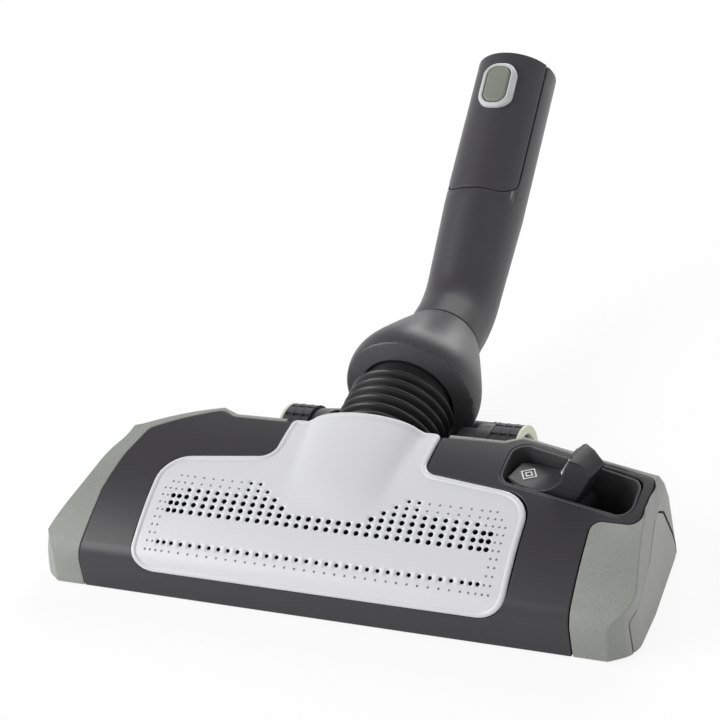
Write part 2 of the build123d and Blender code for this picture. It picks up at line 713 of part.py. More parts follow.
os.makedirs("parts", exist_ok=True)
for piece, name in (
    (lower_housing, "lower_housing"), (end_panel_left, "end_panel_left"),
    (end_panel_right, "end_panel_right"), (top_cover, "top_cover"), (air_grille, "air_grille"),
    (filter_mat, "filter_mat"), (pedal_tray, "pedal_tray"), (pedal_pin, "pedal_pin"),
    (pedal, "pedal"), (sole_plate, "sole_plate"), (thread_lifters, "thread_lifters"),
    (screws, "screws"), (brush_carrier, "brush_carrier"), (bristle_front, "bristle_front"),
    (bristle_rear, "bristle_rear"), (duct_bracket, "duct_bracket"), (axle_pins, "axle_pins"),
    (wheel_core_left, "wheel_core_left"), (wheel_core_right, "wheel_core_right"),
    (tyre_left, "tyre_left"), (tyre_right, "tyre_right"), (yoke, "yoke"), (bellows, "bellows"),
    (bellows_ring, "bellows_ring"), (neck_tube, "neck_tube"), (swivel_clip, "swivel_clip"),
    (swivel_seal, "swivel_seal"), (neck_shield, "neck_shield"), (button_frame, "button_frame"),
    (button_pad, "button_pad"),
):
    piece.part.label = name
    export_step(piece.part, f"parts/{name}.step")
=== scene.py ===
# %% [markdown]
# # A vacuum nozzle, dressed
# The construction comes from CAD: every moulding, pin and wheel is already in place at its real
# size. This lesson gives each piece its surface. Most hard shells keep their CAD form with softened
# edges. The pieces that carry the look, which are the perforated grille, the rubber bellows, the
# pedal and its symbols, are modelled here.

import json
from math import asin, atan2, cos, exp, pi, radians, sin, sqrt

import bmesh
import bpy
from mathutils import Matrix, Vector
from mathutils.bvhtree import BVHTree


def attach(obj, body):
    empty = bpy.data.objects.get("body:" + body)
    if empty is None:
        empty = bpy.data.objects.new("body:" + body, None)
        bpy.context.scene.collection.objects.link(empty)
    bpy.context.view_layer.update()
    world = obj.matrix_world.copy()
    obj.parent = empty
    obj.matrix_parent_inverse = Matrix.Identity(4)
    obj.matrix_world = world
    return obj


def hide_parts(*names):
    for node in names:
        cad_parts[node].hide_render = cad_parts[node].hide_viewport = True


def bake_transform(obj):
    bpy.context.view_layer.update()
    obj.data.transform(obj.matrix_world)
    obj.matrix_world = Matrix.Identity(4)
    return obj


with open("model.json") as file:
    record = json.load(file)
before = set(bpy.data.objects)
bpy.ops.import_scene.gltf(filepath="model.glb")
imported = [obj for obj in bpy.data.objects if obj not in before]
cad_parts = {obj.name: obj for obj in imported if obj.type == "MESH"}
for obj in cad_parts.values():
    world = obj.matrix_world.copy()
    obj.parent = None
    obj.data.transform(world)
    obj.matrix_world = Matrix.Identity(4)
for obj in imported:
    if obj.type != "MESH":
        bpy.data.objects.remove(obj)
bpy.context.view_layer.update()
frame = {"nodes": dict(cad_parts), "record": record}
scene = bpy.context.scene
scene.view_settings.view_transform = "Standard"
MM = 0.001
bodies = frame["record"]["behaviour"]["bodies"]
BODY_OF = {node: body for body, nodes in bodies.items() for node in nodes}
SLOT_OF = {row["node"]: row["material_slot"] for row in frame["record"]["subparts"]}

# %% [markdown]
# ## One shared surface: moulded skin
# Nearly everything here is injection moulded, and moulded plastic is never one flat colour. The
# tool's texture gives it a fine grain, and the colour drifts a little over a large wall. Both are in
# one node group, so each finish only sets how coarse and how deep its grain is.

# %% The moulded skin node group
BROAD_SCALE, BROAD_DETAIL, FINE_DETAIL = 28.0, 3.0, 2.0
DULL_SWING = 0.12
GRAIN_HEIGHT = 0.0002


def make_moulded_skin():
    group = bpy.data.node_groups.new("moulded_skin", "ShaderNodeTree")
    sockets = group.interface
    for name, kind, value in (
        ("Color", "NodeSocketColor", (0.5, 0.5, 0.5, 1)),
        ("Drift", "NodeSocketFloat", 0.05),
        ("Roughness", "NodeSocketFloat", 0.4),
        ("Grain scale", "NodeSocketFloat", 2000.0),
        ("Grain depth", "NodeSocketFloat", 0.1),
    ):
        socket = sockets.new_socket(name, in_out="INPUT", socket_type=kind)
        socket.default_value = value
    sockets.new_socket("Color", in_out="OUTPUT", socket_type="NodeSocketColor")
    sockets.new_socket("Roughness", in_out="OUTPUT", socket_type="NodeSocketFloat")
    sockets.new_socket("Normal", in_out="OUTPUT", socket_type="NodeSocketVector")

    nodes, links = group.nodes, group.links
    given, out = nodes.new("NodeGroupInput"), nodes.new("NodeGroupOutput")
    place = nodes.new("ShaderNodeTexCoord")

    broad = nodes.new("ShaderNodeTexNoise")
    broad.inputs["Scale"].default_value = BROAD_SCALE
    broad.inputs["Detail"].default_value = BROAD_DETAIL
    links.new(place.outputs["Object"], broad.inputs["Vector"])
    fine = nodes.new("ShaderNodeTexNoise")
    fine.inputs["Detail"].default_value = FINE_DETAIL
    links.new(place.outputs["Object"], fine.inputs["Vector"])
    links.new(given.outputs["Grain scale"], fine.inputs["Scale"])

    # Each noise averages one half, so one is taken from their sum to make it swing about zero.
    mixed = nodes.new("ShaderNodeMath")
    mixed.operation = "ADD"
    links.new(broad.outputs["Fac"], mixed.inputs[0])
    links.new(fine.outputs["Fac"], mixed.inputs[1])
    centred = nodes.new("ShaderNodeMath")
    centred.operation = "SUBTRACT"
    centred.inputs[1].default_value = 1.0
    links.new(mixed.outputs[0], centred.inputs[0])
    swing = nodes.new("ShaderNodeMath")
    swing.operation = "MULTIPLY_ADD"
    swing.inputs[2].default_value = 1.0
    links.new(centred.outputs[0], swing.inputs[0])
    links.new(given.outputs["Drift"], swing.inputs[1])
    shade = nodes.new("ShaderNodeVectorMath")
    shade.operation = "SCALE"
    links.new(given.outputs["Color"], shade.inputs[0])
    links.new(swing.outputs[0], shade.inputs["Scale"])
    links.new(shade.outputs[0], out.inputs["Color"])

    dull = nodes.new("ShaderNodeMath")
    dull.operation = "MULTIPLY_ADD"
    dull.inputs[1].default_value = DULL_SWING
    links.new(centred.outputs[0], dull.inputs[0])
    links.new(given.outputs["Roughness"], dull.inputs[2])
    links.new(dull.outputs[0], out.inputs["Roughness"])

    bump = nodes.new("ShaderNodeBump")
    bump.inputs["Distance"].default_value = GRAIN_HEIGHT
    links.new(given.outputs["Grain depth"], bump.inputs["Strength"])
    links.new(fine.outputs["Fac"], bump.inputs["Height"])
    links.new(bump.outputs["Normal"], out.inputs["Normal"])
    return group


moulded_skin = make_moulded_skin()
print("shared groups:", [g.name for g in bpy.data.node_groups])

# %% [markdown]
# ## The finishes
# Each finish is the same recipe with its own values: colour, how shiny it is and how coarse its grain
# is. Most colours are written as they should look under plain light, so the lamps can stay neutral.
# Four are not: the hole walls, the dimple floors and the housing's seam carry painted shade, and the
# pedal tray is lightened as painted light.


# %% One finish per plastic, rubber or metal
def srgb(red, green, blue):
    """A colour as screens show it, 0 to 255, turned into the linear colour that shaders take."""
    def linear(c):
        c = c / 255
        return c / 12.92 if c <= 0.04045 else ((c + 0.055) / 1.055) ** 2.4
    return (linear(red), linear(green), linear(blue), 1.0)


def moulded(name, colour, rough, scale, depth, drift=0.06, metal=0.0):
    """One finish: the shared skin, set to its own values, feeds a shader of its own."""
    material = bpy.data.materials.new(name)
    material.use_nodes = True
    nodes, links = material.node_tree.nodes, material.node_tree.links
    shader = nodes["Principled BSDF"]
    shader.inputs["Metallic"].default_value = metal
    skin = nodes.new("ShaderNodeGroup")
    skin.node_tree = moulded_skin
    skin.inputs["Color"].default_value = colour
    skin.inputs["Drift"].default_value = drift
    skin.inputs["Roughness"].default_value = rough
    skin.inputs["Grain scale"].default_value = scale
    skin.inputs["Grain depth"].default_value = depth
    links.new(skin.outputs["Color"], shader.inputs["Base Color"])
    links.new(skin.outputs["Roughness"], shader.inputs["Roughness"])
    links.new(skin.outputs["Normal"], shader.inputs["Normal"])
    return material


# The columns: material name, colour, roughness, grain scale, grain depth, drift and metal.
FINISH = {
    "charcoal": moulded("charcoal_satin", srgb(56, 54, 57), 0.40, 2600, 0.10),
    "neck_grey": moulded("neck_satin", srgb(68, 66, 69), 0.40, 2600, 0.10),
    "grey_green": moulded("grained_grey_green", srgb(150, 152, 147), 0.55, 1300, 1.0, 0.42),
    "panel_grey": moulded("smooth_panel_grey", srgb(154, 155, 152), 0.42, 3000, 0.05),
    "grille_white": moulded("grille_white", srgb(222, 222, 224), 0.36, 2600, 0.06, 0.03),
    "pedal_black": moulded("pedal_black", srgb(44, 44, 47), 0.38, 2600, 0.10),
    "foam_dark": moulded("filter_foam", srgb(14, 14, 15), 0.9, 1600, 0.8, 0.3),
    "bristle": moulded("bristle_nylon", srgb(52, 52, 54), 0.7, 3200, 0.8, 0.3),
    "steel": moulded("drawn_steel", srgb(190, 190, 192), 0.3, 3000, 0.05, 0.04, 1.0),
    "wheel_pale": moulded("wheel_pale", srgb(214, 218, 196), 0.42, 2400, 0.06),
    "tread_dark": moulded("tread_rubber", srgb(64, 64, 67), 0.6, 2600, 0.3),
    "bellows_black": moulded("bellows_rubber", srgb(34, 34, 36), 0.34, 2400, 0.12),
    "fitting": moulded("hidden_fitting", srgb(50, 50, 52), 0.5, 2400, 0.1),
    "button_pale": moulded("button_ring", srgb(203, 205, 206), 0.4, 2600, 0.06),
    "button_green": moulded("button_pad", srgb(132, 137, 127), 0.55, 1700, 0.5, 0.12),
    "symbol_white": moulded("symbol_white", srgb(232, 232, 232), 0.5, 2600, 0.05),
    # Painted shade: the walls of the grille's holes and its hidden edge, darkened for the shade inside
    # them.
    "painted_hole_shade": moulded("painted_hole_shade", srgb(34, 34, 36), 0.6, 2600, 0.05),
    # Painted shade: the grey floors of the grille's dimples.
    "painted_pit_shade": moulded("painted_pit_shade", srgb(150, 150, 153), 0.5, 2600, 0.05),
    # Painted light: the tray is lighter than the pedal's black plastic, standing in for light that
    # does not reach into it.
    "tray_painted_light": moulded("tray_painted_light", srgb(70, 70, 72), 0.38, 2600, 0.10),
    # Painted shade: the housing's seam round each end panel, darkened for the shadow in the gap.
    "seam_painted_shade": moulded("seam_painted_shade", srgb(48, 48, 50), 0.7, 2600, 0.05),
}
print("finishes:", len(FINISH))

# %% [markdown]
# ## Hard shells
# A real moulding has no knife edges. Each CAD shell is copied, its loose triangles are welded and
# its flat faces joined again, and then a small Bevel modifier rounds every sharp edge. The copy
# stands for the CAD node and moves with the same body. Nodes that stay as they are only get a finish.

# %% How a piece is made, cut, copied and softened
SHARP_DEG, FLAT_DEG, WELD_MM = 35, 0.4, 0.01
ROUND_STEPS = 3
CUT_REACH = 1e-5


def add_piece(name, bm, finishes, body, smooth_angle=SHARP_DEG):
    """Turn a mesh into an object with its finishes, which rides on a body if one is named."""
    mesh = bpy.data.meshes.new(name)
    bm.to_mesh(mesh)
    bm.free()
    for finish in finishes:
        mesh.materials.append(finish)
    mesh.shade_smooth()
    mesh.set_sharp_from_angle(angle=radians(smooth_angle))
    piece = bpy.data.objects.new(name, mesh)
    scene.collection.objects.link(piece)
    if body:
        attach(piece, body)
    return piece


def cut(bm, place, normal, keep=lambda face: True):
    """Draw a plane's edge across the faces that keep picks, and take nothing away."""
    faces = [f for f in bm.faces if keep(f)]
    edges = {e for f in faces for e in f.edges}
    verts = {v for f in faces for v in f.verts}
    bmesh.ops.bisect_plane(
        bm, geom=[*verts, *edges, *faces], dist=CUT_REACH, plane_co=place, plane_no=normal,
    )


def copy_of(node):
    """A CAD node's mesh, with its triangles welded and its flat faces joined."""
    bm = bmesh.new()
    bm.from_mesh(frame["nodes"][node].data)
    bmesh.ops.remove_doubles(bm, verts=bm.verts, dist=WELD_MM * MM)
    bmesh.ops.dissolve_limit(bm, angle_limit=radians(FLAT_DEG), verts=bm.verts, edges=bm.edges)
    return bm


def stand_for(piece, node):
    """Let a piece take a CAD node's place."""
    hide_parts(node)
    return piece


def soften(node, width, bm=None, finishes=None):
    """A CAD node's copy, or the mesh given for it, with every sharp edge rounded."""
    bm = bm or copy_of(node)
    piece = add_piece(node + "_shell", bm, finishes or [FINISH[SLOT_OF[node]]], BODY_OF[node])
    rounding = piece.modifiers.new("edge_rounding", "BEVEL")
    rounding.width = width * MM
    rounding.segments = ROUND_STEPS
    rounding.limit_method = "ANGLE"
    rounding.angle_limit = radians(SHARP_DEG)
    rounding.use_clamp_overlap = False
    rounding.harden_normals = True
    return stand_for(piece, node)


for node, finish in SLOT_OF.items():
    mesh = frame["nodes"][node].data
    mesh.materials.clear()
    mesh.materials.append(FINISH[finish])
print("CAD nodes with a finish:", len(SLOT_OF))

# %% [markdown]
# The plain shells need no more than that: the width of the rounded edge in millimetres, and a finish.

# %% Softened copies of the plain shells
SHELLS = {
    "neck_tube": (0.5, "neck_grey"),
    "neck_shield": (0.4, "neck_grey"),
    # The tray's finish is painted light.
    "pedal_tray": (0.3, "tray_painted_light"),
    "button_frame": (0.5, "button_pale"),
    "button_pad": (0.5, "button_green"),
}
for node, (width, finish) in SHELLS.items():
    soften(node, width, finishes=[FINISH[finish]])
print("softened shells:", len(SHELLS))

# %% [markdown]
# The collar's bell is straighter than a turned curve gives. Its points are drawn in towards the
# collar's axis, most at half its height.

# %% Draw in the collar's bell
COLLAR_AT, COLLAR_PITCH = Vector((0, 84.0, 36.4)), radians(5.0)
BELL_WITHIN, BELL_DRAW = 33, 0.055
BELL_MIDDLE, BELL_SPREAD = 22, 12
collar_axis = Vector((0, cos(COLLAR_PITCH), sin(COLLAR_PITCH)))
bell = copy_of("yoke")
for vert in bell.verts:
    arm = vert.co / MM - COLLAR_AT
    height = arm.dot(collar_axis)
    spoke = arm - collar_axis * height
    if spoke.length < BELL_WITHIN:
        drawn = 1 - BELL_DRAW * exp(-0.5 * ((height - BELL_MIDDLE) / BELL_SPREAD) ** 2)
        vert.co = (COLLAR_AT + collar_axis * height + spoke * drawn) * MM
bell_piece = soften("yoke", 0.8, bell, [FINISH["neck_grey"]])
print("bell points:", len(bell_piece.data.vertices))

# %% [markdown]
# The wheels are pale only on their outer flange. The land between the treads is as dark as the
# treads, so each wheel core gets a second finish by place.

# %% Two finishes on the wheel cores
FLANGE_X = 57.9
for node in ("wheel_core_left", "wheel_core_right"):
    core = copy_of(node)
    for face in core.faces:
        face.material_index = 0 if abs(face.calc_center_median().x) > FLANGE_X * MM else 1
    soften(node, 0.3, core, [FINISH["wheel_pale"], FINISH["tread_dark"]])
print("wheel cores: flange from", FLANGE_X, "mm")

# %% [markdown]
# ## The crowned head
# The cover, the housing and the end panels share one crowned surface, and light shows every fault in
# it. Their edges are rounded first, and then each point is told which way the true crown faces, so
# the facets of the copy do not show. Moulded ends are also fuller than straight cuts: the same small
# bend is given to all four pieces, which rounds the left end and softens the corners in plan.

# %% How the head bends
CROWN_R, CROWN_Y, CROWN_Z = 136.9, 44.2, -88.6
FRONT_Y, CHIN_R, CHIN_MIDDLE_Z = -40.0, 12.0, 13.3
CHIN_MIDDLE = Vector((0, FRONT_Y + CHIN_R, CHIN_MIDDLE_Z))
CROWN_MIDDLE = Vector((0, CROWN_Y, CROWN_Z))
CHIN_TOP_Y = (CROWN_MIDDLE + (CHIN_MIDDLE - CROWN_MIDDLE).normalized() * CROWN_R).y
# The left end as the CAD cuts it: upright to a height, then leaning in.
END_X, LEAN_FROM_Z, LEAN_RUN, LEAN_RISE = -140, 22.8, 38.8, 37.2
# The round that takes its place, and which points it moves: beyond an x and under a height.
ROUND_X, ROUND_Z, ROUND_R = -69.7, -7.2, 70.3
ROUND_FROM_X, ROUND_TOP_Z = -100, 43.6
# Small moves in plan: around which place, by how much, how far they spread, and full from what height.
NUDGES = (
    ((-103, 27.5), (-2.4, -5.1), 14, 25),
    ((-114.5, -13), (2.5, 0), 14, 25),
    ((-118, 27), (4.2, -3.8), 11, 25),
    ((134, 31), (2.6, 1), 8, 0.01),
)


def ramp(value, start, end):
    """0 up to the start, 1 from the end on, and a straight climb between them."""
    return min(max((value - start) / (end - start), 0), 1)


def crown_height(y):
    return CROWN_Z + sqrt(CROWN_R ** 2 - (CROWN_Y - y) ** 2)


def bent(spot):
    """Where a point of the head moves to, in millimetres."""
    x, y, z = spot
    tip = END_X + max(0.0, z - LEAN_FROM_Z) * LEAN_RUN / LEAN_RISE
    if x < ROUND_FROM_X and z < ROUND_TOP_Z:
        round_tip = ROUND_X - sqrt(ROUND_R ** 2 - (z - ROUND_Z) ** 2)
        share = ramp(x, ROUND_FROM_X, tip)
        x += max(round_tip - tip, 0) * share * share
    for (at_x, at_y), (move_x, move_y), wide, foot in NUDGES:
        near = exp(-0.5 * ((spot.x - at_x) ** 2 + (spot.y - at_y) ** 2) / wide ** 2)
        near *= ramp(z, 0, foot)
        x += move_x * near
        y += move_y * near
    return Vector((x, y, z * crown_height(y) / crown_height(spot.y)))


def crown_facing(spot):
    """Which way the crown or the rounded chin faces beside a point, and how far away it is."""
    flat = Vector((0, spot.y, spot.z))
    if spot.y < CHIN_TOP_Y:
        out = flat - CHIN_MIDDLE
        return out.normalized(), abs(out.length - CHIN_R)
    out = flat - CROWN_MIDDLE
    return out.normalized(), abs(out.length - CROWN_R)


print("chin rounding meets the crown at y", round(CHIN_TOP_Y, 1))

# %% [markdown]
# Points beside the crown take its direction. All others take the mean of their faces, weighed by
# area, so that broad walls stay flat and the narrow rounded edges turn between them. The left end is
# cut into small cells before it bends, so that it bends evenly.

# %% How a piece of the head is cut, bent and shaded
CROWN_ALIKE, CROWN_NEAR = 0.985, 0.4
SOFT_UNTIL, HEAD_SMOOTH_DEG = 0.6, 60
LEFT_END_X = -78
X_CUTS = [LEFT_END_X - 3.5 * k for k in range(18)]
Y_CUTS = [-36 + 4 * k for k in range(19)]
Z_CUTS = [4 + 4 * k for k in range(10)]


def facing(vert):
    """The direction that a point is shaded by."""
    mean = sum((f.normal * f.calc_area() for f in vert.link_faces), Vector()).normalized()
    crown, off = crown_facing(vert.co / MM)
    near = any(f.normal.dot(crown) > CROWN_ALIKE for f in vert.link_faces)
    return crown if off < CROWN_NEAR and near else mean


def at_left_end(face):
    return face.calc_center_median().x < LEFT_END_X * MM


def crowned(node, width, finishes, paint=None):
    """A CAD node's copy with rounded edges, bent ends and the shading of the true crown."""
    bm = copy_of(node)
    sharp = [e for e in bm.edges if e.is_manifold and e.calc_face_angle() > radians(SHARP_DEG)]
    bmesh.ops.bevel(
        bm, geom=sharp, offset=width * MM, offset_type="OFFSET", segments=ROUND_STEPS, profile=0.5,
        affect="EDGES", clamp_overlap=False, material=-1,
    )
    if paint:
        paint(bm)
    for x in X_CUTS:
        cut(bm, (x * MM, 0, 0), (1, 0, 0))
    for y in Y_CUTS:
        cut(bm, (0, y * MM, 0), (0, 1, 0), at_left_end)
    for z in Z_CUTS:
        cut(bm, (0, 0, z * MM), (0, 0, 1), at_left_end)
    for vert in bm.verts:
        vert.co = bent(vert.co / MM) * MM
    bm.normal_update()
    turned = {vert.index: facing(vert) for vert in bm.verts}
    normals = []
    for face in bm.faces:
        for vert in face.verts:
            soft = turned[vert.index]
            normals.append(soft if soft.dot(face.normal) > SOFT_UNTIL else face.normal.copy())
    piece = add_piece(node + "_shell", bm, [FINISH[f] for f in finishes], "head", HEAD_SMOOTH_DEG)
    piece.data.normals_split_custom_set(normals)
    return stand_for(piece, node)


print("cuts through the left end:", len(X_CUTS) + len(Y_CUTS) + len(Z_CUTS))

# %% [markdown]
# The housing is one moulding with three looks: grained outside, smooth on the walls that face left
# and right, and darkened with painted shade in the seam round each end panel, where the narrow gap
# is in shadow. A face is in the seam when all its corners lie close to a panel.

# %% The four pieces of the head
SEAM_MM, END_WALL = 1.1, 0.7
GRAINED, SMOOTH, SEAM_SHADE = range(3)


def tree_of(node):
    mesh = frame["nodes"][node].data
    return BVHTree.FromPolygons([v.co for v in mesh.vertices], [p.vertices for p in mesh.polygons])


def gap(tree, spot):
    place, normal, index, distance = tree.find_nearest(spot)
    return distance


panel_trees = [tree_of("end_panel_left"), tree_of("end_panel_right")]


def paint_housing(bm):
    for face in bm.faces:
        beside = min(max(gap(tree, v.co) for v in face.verts) for tree in panel_trees)
        if beside < SEAM_MM * MM:
            # Painted shade in the seam round the panel.
            face.material_index = SEAM_SHADE
        elif abs(face.normal.x) > END_WALL:
            face.material_index = SMOOTH
        else:
            face.material_index = GRAINED


head_pieces = [
    crowned("top_cover", 0.5, ["charcoal"]),
    crowned("lower_housing", 0.5, ["grey_green", "panel_grey", "seam_painted_shade"], paint_housing),
    crowned("end_panel_left", 0.3, ["panel_grey"]),
    crowned("end_panel_right", 0.3, ["panel_grey"]),
]
print("crowned pieces:", [piece.name for piece in head_pieces])

# %% [markdown]
# ## The air grille
# The white grille is one thin moulding: a panel that follows the head's crown and folds over its
# chin, a raised lip all round, and a half-cone dome where the air turns into the bellows. Drawing it
# in space would be hard, so it is drawn flat first, as if unrolled. There the outline is a polygon
# with rounded corners, the lip is a row of insets, and straight cuts divide the panel into one cell
# for each hole. Only then is every point laid on the crown and lifted over the dome.

# %% Grille: where its rows and columns lie in the flat
CORNER = asin((CROWN_Y - FRONT_Y) / CROWN_R)
CHIN_Z = CROWN_Z + CROWN_R * cos(CORNER)
ROWS, ROW_PITCH, FIRST_ROW_Y, ROW_MARGIN = 11, 3.24, -3.0, 1.7
COLUMN_PITCH, EVEN_COLUMNS, COLUMN_MARGIN = 4.7, 15, 1.6
OUTER_COLUMNS = (71.8, 74.9, 77.7, 80.3)


def unrolled(y):
    """Distance from the chin's edge up the crown to the point at depth y."""
    return CROWN_R * (CORNER - asin((CROWN_Y - y) / CROWN_R))


def between(places):
    return [(a + b) / 2 for a, b in zip(places, places[1:])]


columns = [COLUMN_PITCH * (k + 0.5) for k in range(EVEN_COLUMNS)] + list(OUTER_COLUMNS)
column_cuts = [0.0] + between(columns) + [columns[-1] + COLUMN_MARGIN]
rows = [unrolled(FIRST_ROW_Y - ROW_PITCH * r) for r in range(ROWS)]
row_cuts = [rows[0] + ROW_MARGIN] + between(rows) + [rows[-1] - ROW_MARGIN]
print("rows:", len(rows), "columns on each side:", len(columns))

# %% [markdown]
# The lip climbs steeply, runs level and drops to the panel. Behind the holes and over the chin there
# are more cuts than cells, because the dome and the fold need points to bend at.

# %% Grille: outline, lip and cells in the flat
GRILLE_HALF, GRILLE_NECK = 87.5, 36.0
SHOULDER_Y, NECK_ROOT_Y, BACK_EDGE_Y, CHIN_EDGE_Z = 6.0, 12.3, 36.0, 14.5
EDGE_DEPTH, CORNER_STEPS = -0.2, 8
# The lip from outside in: how wide each inset is, and how far it climbs.
LIP = ((0.25, 0.7), (0.4, 0.4), (0.4, 0.1), (0.7, 0.0), (0.4, -0.12), (0.5, -0.48))
DOME_ROWS, DOME_STEP, DOME_COLUMNS = 15, 2.6, 7
CHIN_ROWS, CHIN_STEP = 7, 1.4

grille = bmesh.new()
# Each corner: how far across, how far up the unrolled panel, and its radius.
half_outline = [
    (GRILLE_HALF, CHIN_EDGE_Z - CHIN_Z, 12),
    (GRILLE_HALF, unrolled(SHOULDER_Y), 13),
    (GRILLE_NECK, unrolled(NECK_ROOT_Y), 6),
    (GRILLE_NECK, unrolled(BACK_EDGE_Y), 3),
]
outline = half_outline + [(-x, v, r) for x, v, r in reversed(half_outline)]
corner_verts = [(grille.verts.new((x, v, EDGE_DEPTH)), r) for x, v, r in outline]
grille.faces.new([vert for vert, r in corner_verts])
for radius in sorted({r for vert, r in corner_verts}):
    bmesh.ops.bevel(
        grille, geom=[vert for vert, r in corner_verts if r == radius], offset=radius,
        affect="VERTICES", segments=CORNER_STEPS, profile=0.5, material=-1,
    )
panel = max(grille.faces, key=lambda f: f.calc_area())
for width, climb in LIP:
    bmesh.ops.inset_region(
        grille, faces=[panel], thickness=width, depth=climb, use_even_offset=True, use_boundary=True,
    )


def behind_holes(face):
    return face.calc_center_median().y > row_cuts[0]


for x in column_cuts:
    for mirrored in {x, -x}:
        cut(grille, (mirrored, 0, 0), (1, 0, 0))
dome_rows = [row_cuts[0] + DOME_STEP * k for k in range(1, DOME_ROWS + 1)]
chin_rows = [row_cuts[-1] - CHIN_STEP * k for k in range(1, CHIN_ROWS + 1)]
for v in row_cuts + dome_rows + chin_rows:
    cut(grille, (0, v, 0), (0, 1, 0))
for k in range(DOME_COLUMNS):
    for side in (1, -1):
        cut(grille, (side * COLUMN_PITCH * (k + 0.5), 0, 0), (1, 0, 0), behind_holes)
print("grille cells:", len(grille.faces))

# %% [markdown]
# A hole is an inset in its cell, rounded by turning the inset's corners on to a circle. The larger
# ones go right through to the dark foam, and the small ones along the edges are shallow dimples
# whose floors are grey painted shade.

# %% Grille: holes and dimples
# By row: the first column, the column after the last one, and for a through hole its radius.
THROUGH = {
    0: (7, 9, 0.8), 1: (6, 9, 0.85), 2: (5, 15, 1.05), 3: (4, 17, 1.2), 4: (0, 17, 1.2),
    5: (0, 17, 1.15), 9: (0, 17, 0.9),
}
DIMPLED = {row: (17, 19) for row in range(3, 10)}
DIMPLED.update({0: (9, 17), 1: (9, 18), 2: (15, 19), 10: (0, 19)})
DIMPLE_R, DIMPLE_DEEP = 0.55, 0.45
HOLE_INSET, SIDE_CUTS = 0.2, 2
# Finishes for painted shade: the hole walls and the dimple floors.
HOLE_SHADE_FINISH, PIT_SHADE_FINISH = 1, 2


def cell_of(face):
    """Which row and column a face of the flat panel lies in."""
    middle = face.calc_center_median()
    column = sum(1 for c in column_cuts if c < abs(middle.x)) - 1
    row = sum(1 for c in row_cuts if c > middle.y) - 1
    return row, column


def has(span, row, column):
    return row in span and span[row][0] <= column < span[row][1]


through, dimples = [], []
for face in grille.faces:
    row, column = cell_of(face)
    if not (0 <= row < ROWS and 0 <= column < len(columns)) or len(face.verts) != 4:
        continue
    if has(THROUGH, row, column):
        through.append((face, row, column, THROUGH[row][2]))
    elif has(DIMPLED, row, column):
        dimples.append((face, row, column, DIMPLE_R))
cells = [face for face, *rest in through + dimples]
cell_edges = list(dict.fromkeys(e for f in cells for e in f.edges))
bmesh.ops.bisect_edges(grille, edges=cell_edges, cuts=SIDE_CUTS)
bmesh.ops.inset_individual(grille, faces=cells, thickness=HOLE_INSET)
for face, row, column, radius in through + dimples:
    side = 1 if face.calc_center_median().x > 0 else -1
    middle = Vector((side * columns[column], rows[row], face.verts[0].co.z))
    ring = sorted(face.verts, key=lambda v: atan2(v.co.y - middle.y, v.co.x - middle.x))
    for k, vert in enumerate(ring):
        turn = -pi + (k + 0.5) * 2 * pi / len(ring)
        vert.co = middle + radius * Vector((cos(turn), sin(turn), 0))
pits = bmesh.ops.extrude_discrete_faces(grille, faces=[face for face, *rest in dimples])["faces"]
# The dimple floors take painted shade.
for face in pits:
    face.material_index = PIT_SHADE_FINISH
pit_verts = list(dict.fromkeys(v for f in pits for v in f.verts))
bmesh.ops.translate(grille, verts=pit_verts, vec=(0, 0, -DIMPLE_DEEP))
bmesh.ops.delete(grille, geom=[face for face, *rest in through], context="FACES")
print("through holes:", len(through), "dimples:", len(dimples))

# %% [markdown]
# Now the flat panel is wrapped. The profile is an arc and a straight chin, averaged over a few
# millimetres so that the fold is soft, and the dome is joined to the crown with a smooth maximum,
# which is what a fillet between two surfaces looks like. The dome widens and rises towards the back,
# and starts with a blunt nose.

# %% Grille: wrap it over the crown and the dome
FOLD, FOLD_STEPS, BLEND = 6.0, 4, 2.4
DOME_FRONT, DOME_BACK, DOME_SUNK = -13.0, 36.0, 1.5
DOME_HALF, DOME_WIDENS = 20, 7
DOME_RISE, DOME_CLIMBS = 3.2, 5.5
NOSE_SHARE, FALL_BESIDE = 0.3, 2
SLOPE_STEP = 0.1
GRILLE_WALL, GRILLE_SMOOTH_DEG = 1.6, 40


def profile(v):
    if v < 0:
        return Vector((0, FRONT_Y, CHIN_Z + v))
    turn = CORNER - v / CROWN_R
    return Vector((0, CROWN_Y - CROWN_R * sin(turn), CROWN_Z + CROWN_R * cos(turn)))


def folded(v):
    steps = [v + FOLD * k / FOLD_STEPS for k in range(-FOLD_STEPS, FOLD_STEPS + 1)]
    return sum((profile(s) for s in steps), Vector()) / len(steps)


def dome_height(x, y):
    t = (y - DOME_FRONT) / (DOME_BACK - DOME_FRONT)
    nose = sqrt(1 - ramp(1 - t / NOSE_SHARE, 0, 1) ** 2)
    half = DOME_HALF + DOME_WIDENS * t
    rise = (DOME_RISE + DOME_CLIMBS * t) * nose
    base = crown_height(y) - DOME_SUNK if t > 0 else 0
    if abs(x) < half:
        return base + rise * sqrt(1 - (x / half) ** 2)
    return base - FALL_BESIDE * (abs(x) - half)


def smooth_max(a, b, soft):
    near = max(soft - abs(a - b), 0) / soft
    return max(a, b) + near * near * soft / 4


